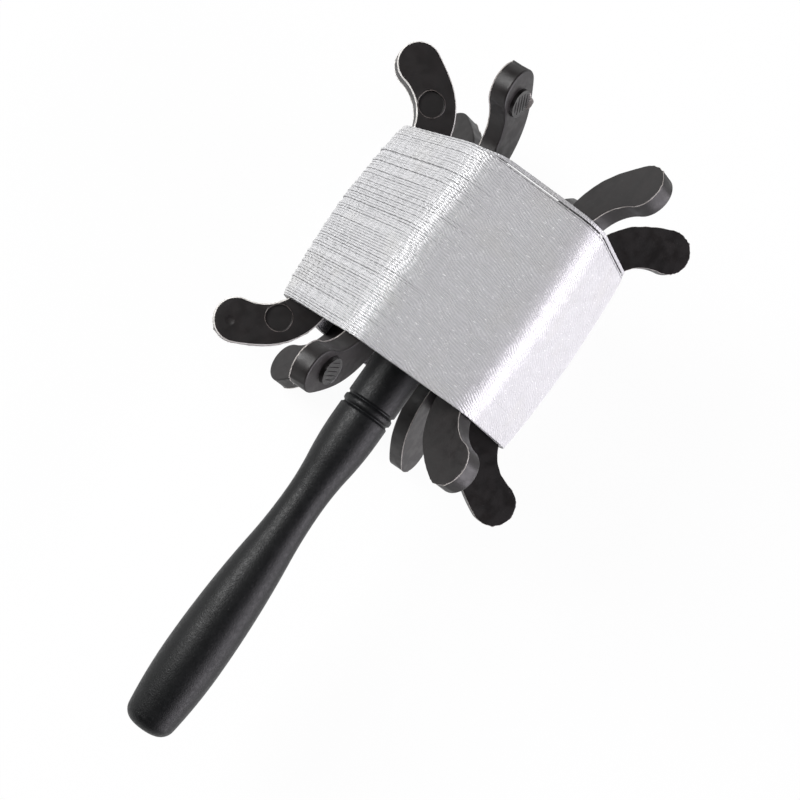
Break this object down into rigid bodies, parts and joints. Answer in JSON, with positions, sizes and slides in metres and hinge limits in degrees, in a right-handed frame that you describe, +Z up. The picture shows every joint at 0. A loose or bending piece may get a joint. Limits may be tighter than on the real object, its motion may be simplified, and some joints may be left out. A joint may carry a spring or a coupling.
{
  "type": "kite line winder",
  "caption": "Hand-held kite line winder: a horned plate reel wound with white line, free to spin on a steel spindle in a turned black grip.",
  "frame": {"origin": "centre of the bounding box, on the surface that the horn tips of the two lower plates stand on", "axes": "+X along the spin axis from the grip's butt to the far end of the reel, +Z up"},
  "size_m": [0.1975, 0.1, 0.0888],
  "materials": {
    "plate_plastic": "satin",
    "hub_plastic": "satin",
    "grip_plastic": "satin",
    "nylon": "satin",
    "screw_steel": "satin",
    "spindle_steel": "polished",
    "line": "satin"
  },
  "bodies": {
    "handle": {"handle_grip": "grip_plastic", "spindle": "spindle_steel", "rear_thrust_washer": "nylon", "front_thrust_washer": "nylon", "lock_nut": "screw_steel"},
    "reel": {"hub_core": "hub_plastic", "front_bush": "nylon", "rear_bush": "nylon", "front_hub_cap": "hub_plastic", "rear_hub_cap": "hub_plastic", "front_cap_screws": "screw_steel", "rear_cap_screws": "screw_steel", "horn_plate_1": "plate_plastic", "horn_plate_2": "plate_plastic", "horn_plate_3": "plate_plastic", "horn_plate_4": "plate_plastic", "horn_plate_5": "plate_plastic", "horn_plate_6": "plate_plastic", "line_core": "line", "line_turns": "line"}
  },
  "joints": [
    {"name": "reel_spin", "type": "hinge", "parent": "handle", "child": "reel", "pos_m": [0.04925, 0, 0.0444], "axis": [1, 0, 0], "continuous": true}
  ]
}
